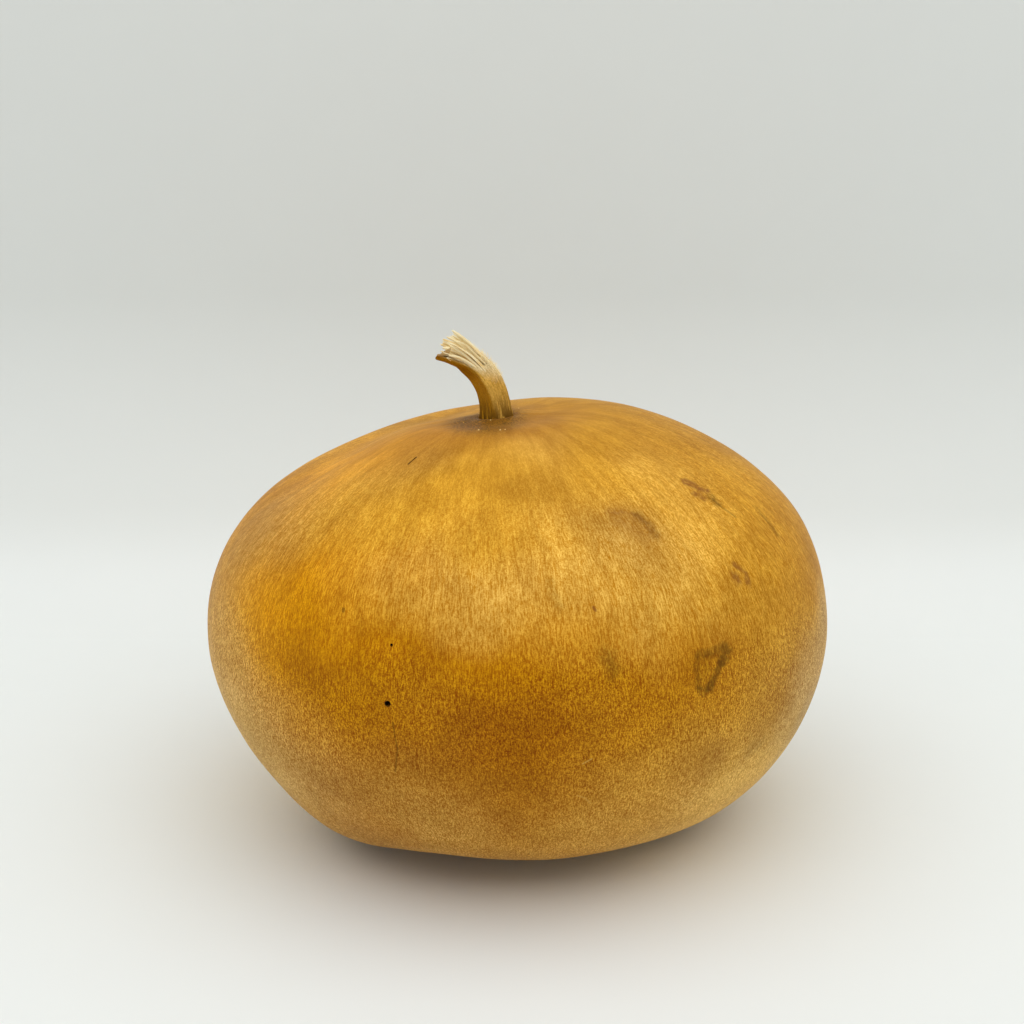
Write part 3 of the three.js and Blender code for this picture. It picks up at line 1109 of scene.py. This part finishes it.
def stem_bark_material(s):
    """Brown below and paler above, which is painted shade and painted light, with painted shade in the
    grooves at the foot and fuzz at the frayed end.
    """
    material, graph, shader = new_material("gourd stem bark")
    upright = upright_place(graph)
    _, y, z = graph.split(upright)
    streaks = graph.noise(graph.vector("MULTIPLY", upright, (3.2, 3.2, 0.2)), 1.0, 3.0, 0.6, 0.3)
    ribs = graph.noise(graph.vector("MULTIPLY", upright, (1.3, 1.3, 0.06)), 1.0, 2.0)
    blotches = graph.noise(graph.vector("MULTIPLY", upright, (1.0, 1.0, 0.4)), 0.35, 2.0)
    # The brown lower face is painted shade and the pale upper face painted light; the brown ends at a ridge
    # that moves under as the stem rises
    lit_side = graph.plus(y, graph.times(graph.minus(z, 5.0), 0.085))
    lit_side = graph.plus(lit_side, graph.times(graph.minus(blotches, 0.5), 2.2))
    pale = graph.between(lit_side, -0.5, 0.7)
    tone = graph.mix(pale, s.bark, s.pale_bark)
    # The tongue is darker than the shaft
    tone = graph.mix(graph.between(z, 23, 29), tone, graph.tinted(tone, (0.70, 0.64, 0.30)))
    above = graph.math("MAXIMUM", y, 0.0)
    below = graph.times(graph.math("MINIMUM", y, 0.0), 5.2)
    frayed = graph.between(graph.plus(z, graph.plus(above, below)), 22, 30)
    tone = graph.mix(graph.times(frayed, 0.65), tone, s.fibre)
    shade = graph.between(streaks, 0.33, 0.60, 0.45, 1.0)
    tone = graph.mix(shade, graph.tinted(tone, (0.60, 0.52, 0.38)), tone)
    grain = graph.noise(graph.vector("MULTIPLY", upright, (2.6, 2.6, 1.3)), 1.0, 2.0, 0.7)
    grain = graph.mix(graph.between(grain, 0.35, 0.65), (0.86, 0.82, 0.70), (1.11, 1.13, 1.20))
    tone = graph.tinted(tone, grain)
    # Painted shade: the grooves between the root's ribs are darkened near the foot
    foot = graph.between(z, 19, 7)
    grooves = graph.between(ribs, 0.66, 0.48)
    tone = graph.mix(graph.times(foot, grooves), tone, s.groove_shade)
    dress(graph, shader, tone, 0.68, 0.05, height=streaks, bump_strength=0.5, bump_distance=0.0003)
    return material


def crumb_material(s):
    """Pale bark, in places as light as the fibres."""
    material, graph, shader = new_material("gourd bark crumbs")
    place = object_place(graph)
    tone = graph.mix(graph.between(graph.noise(place, 1.2, 2.0), 0.35, 0.65, 0.0, 0.4), s.pale_bark, s.fibre)
    grain = graph.noise(place, 4.0, 3.0)
    dress(graph, shader, tone, 0.7, 0.15, height=grain, bump_strength=0.5, bump_distance=0.0001)
    return material


def fibre_material(s):
    """Pale fibres with darker lines along them."""
    material, graph, shader = new_material("gourd stem fibre")
    upright = upright_place(graph)
    strand = graph.noise(graph.vector("MULTIPLY", upright, (1.0, 1.0, 0.10)), 1.3, 2.0)
    fine = graph.noise(graph.vector("MULTIPLY", upright, (5.0, 5.0, 0.5)), 1.0, 2.0)
    tone = graph.mix(graph.between(strand, 0.32, 0.55), s.fibre_shade, s.fibre)
    tone = graph.mix(graph.between(fine, 0.3, 0.7, 0.0, 0.25), tone, s.fibre_shade)
    dress(graph, shader, tone, 0.62, 0.15, height=fine, bump_strength=0.4, bump_distance=0.0001)
    return material


class GOURD_OT_rind(bpy.types.Operator):
    """Models the rind and gives it its finish"""

    bl_idname = "gourd.rind"
    bl_label = "Rind"

    def execute(self, context):
        s = context.scene.gourd_rind
        rind = model_rind(s)
        holes = []
        for place, share_of_radius, depth in zip(PINHOLES, (1.0, 0.45), (0.006, 0.004)):
            radius = s.pinhole_radius * share_of_radius
            holes.append((pierce(rind, place, radius, depth), radius / MM))
        nick(rind, *NICK, width=0.0005, depth=0.0006)
        smooth(rind, 40)
        rind.data.materials.append(rind_material(s, shared_groups(), rind, holes))
        hand_over(rind, "fruit")
        return {"FINISHED"}


class GOURD_OT_stem_bark(bpy.types.Operator):
    """Models the stem's bark with its tongue"""

    bl_idname = "gourd.stem_bark"
    bl_label = "Stem bark"

    def execute(self, context):
        s = context.scene.gourd_stem
        bark = model_stem_bark(s)
        smooth(bark, 60)
        bark.data.materials.append(stem_bark_material(s))
        hand_over(bark, "stem")
        return {"FINISHED"}


class GOURD_OT_stem_crumbs(bpy.types.Operator):
    """Scatters crumbs of bark on the rind round the stem's foot"""

    bl_idname = "gourd.stem_crumbs"
    bl_label = "Bark crumbs"

    def execute(self, context):
        crumbs = model_crumbs(bpy.data.objects["rind"])
        smooth(crumbs, 60)
        crumbs.data.materials.append(crumb_material(context.scene.gourd_stem))
        hand_over(crumbs)
        return {"FINISHED"}


class GOURD_OT_stem_fibres(bpy.types.Operator):
    """Models the frayed end's fibres and fine hairs"""

    bl_idname = "gourd.stem_fibres"
    bl_label = "Frayed end"

    def execute(self, context):
        s = context.scene.gourd_stem
        finish = fibre_material(s)
        brush = model_fibres(s)
        smooth(brush, 60)
        brush.data.materials.append(finish)
        hand_over(brush, "stem_strands")
        fuzz = model_hairs(s)
        fuzz.data.materials.append(finish)
        hand_over(fuzz)
        return {"FINISHED"}


def shared_groups():
    """The node groups that the materials share, each built once."""
    makers = {
        "patch": ("Soft patch", soft_patch_group),
        "stroke": ("Stroke", stroke_group),
        "warp": ("Edge warp", edge_warp_group),
        "streaks": ("Meridian streaks", meridian_streaks_group),
    }
    return {key: bpy.data.node_groups.get(name) or make() for key, (name, make) in makers.items()}


# Studio


def paper(name, tint, foot_tint=None):
    """Plain matt paper with a faint mottle.

    With a foot tint it is a backdrop, which takes that tint low down and isn't seen from behind.
    """
    material, graph, shader = new_material(name)
    place = graph.put("ShaderNodeTexCoord").outputs["Object"]
    tone = tint
    if foot_tint:
        tone = graph.mix(graph.between(graph.split(place)[2], 0.006, 0.036), foot_tint, tint)
    mottle = graph.mix(graph.noise(place, 30.0, 3.0), (0.985, 0.985, 0.985), (1.0, 1.0, 1.0))
    graph.feed(shader.inputs["Base Color"], graph.tinted(tone, mottle))
    graph.feed(shader.inputs["Roughness"], 0.8)
    graph.feed(shader.inputs["Specular IOR Level"], 0.2)
    if foot_tint:
        behind = graph.put("ShaderNodeNewGeometry").outputs["Backfacing"]
        clear = graph.put("ShaderNodeBsdfTransparent")
        blend = graph.put("ShaderNodeMixShader")
        graph.feed(blend.inputs[0], behind)
        graph.feed(blend.inputs[1], shader.outputs[0])
        graph.feed(blend.inputs[2], clear.outputs[0])
        graph.feed(material.node_tree.nodes["Material Output"].inputs["Surface"], blend.outputs[0])
    return material


def add_stage(s):
    """Floor, wall, light and camera."""
    scene = bpy.context.scene
    width, height = 8.0, 3.0
    floor = begin(bpy.ops.mesh.primitive_plane_add, "studio_floor", size=width)
    floor.data.materials.append(paper("floor paper", s.floor))

    # The paper sweep behind: it rises from the floor in a curve and goes on as a wall
    turn = s.sweep_radius
    place = (0, s.sweep_start - 0.5, 0)
    sweep = begin(bpy.ops.mesh.primitive_plane_add, "studio_sweep", size=1.0, location=place)
    edit(sweep)
    choose(sweep, lambda e: all(v.co.y > s.sweep_start - 0.01 for v in e.verts), "EDGE")
    bpy.ops.mesh.spin(steps=24, angle=-math.pi / 2, center=(0, s.sweep_start, turn), axis=(1, 0, 0))
    bpy.ops.mesh.extrude_region_move(TRANSFORM_OT_translate={"value": (0, 0, height)})
    choose(sweep, lambda f: f.calc_center_median().y < s.sweep_start - 0.01, "FACE")
    bpy.ops.mesh.delete(type="FACE")
    bpy.ops.mesh.select_all(action="SELECT")
    bpy.ops.transform.resize(value=(width, 1, 1), center_override=(0, 0, 0))
    smooth(sweep, 30)
    sweep.data.materials.append(paper("wall paper", s.wall, foot_tint=s.floor))

    bpy.ops.object.light_add(type="AREA", location=LIGHT_PLACE)
    overhead = bpy.context.object
    overhead.name = "overhead_light"
    overhead.data.shape = "RECTANGLE"
    overhead.data.size = s.overhead_size
    overhead.data.size_y = 1.6
    overhead.data.energy = s.overhead
    overhead.data.color = LIGHT_TINT

    world = bpy.data.worlds.new("even light")
    world.use_nodes = True
    ground = world.node_tree.nodes["Background"]
    ground.inputs["Color"].default_value = (*SURROUNDINGS_TINT, 1.0)
    ground.inputs["Strength"].default_value = s.surroundings
    scene.world = world

    bpy.ops.object.camera_add(location=CAMERA_PLACE, rotation=(math.radians(CAMERA_TILT), 0, 0))
    camera = bpy.context.object
    camera.name = "photo_camera"
    camera.data.sensor_width = 36
    camera.data.lens = s.lens
    scene.camera = camera
    scene.view_settings.view_transform = "Standard"


class GOURD_OT_stage(bpy.types.Operator):
    """Sets up the floor, the wall, the light and the camera"""

    bl_idname = "gourd.stage"
    bl_label = "Studio"

    def execute(self, context):
        add_stage(context.scene.gourd_studio)
        return {"FINISHED"}


class GOURD_PT_pieces(bpy.types.Panel):
    """Lists what the gourd is made of"""

    bl_label = "Dried canteen gourd"
    bl_space_type = "VIEW_3D"
    bl_region_type = "UI"
    bl_category = "Gourd"

    def draw(self, context):
        for operator in OPERATORS:
            self.layout.operator(operator.bl_idname)


OPERATORS = (
    GOURD_OT_rind,
    GOURD_OT_stem_bark,
    GOURD_OT_stem_crumbs,
    GOURD_OT_stem_fibres,
    GOURD_OT_stage,
)
CLASSES = (RindSettings, StemSettings, StudioSettings, *OPERATORS, GOURD_PT_pieces)


def register():
    for kind in CLASSES:
        bpy.utils.register_class(kind)
    bpy.types.Scene.gourd_rind = PointerProperty(type=RindSettings)
    bpy.types.Scene.gourd_stem = PointerProperty(type=StemSettings)
    bpy.types.Scene.gourd_studio = PointerProperty(type=StudioSettings)


def unregister():
    for name in ("gourd_rind", "gourd_stem", "gourd_studio"):
        delattr(bpy.types.Scene, name)
    for kind in reversed(CLASSES):
        bpy.utils.unregister_class(kind)


def main():
    register()
    bpy.ops.gourd.rind()
    bpy.ops.gourd.stem_bark()
    bpy.ops.gourd.stem_crumbs()
    bpy.ops.gourd.stem_fibres()
    bpy.ops.gourd.stage()


if __name__ == "__main__":
    main()
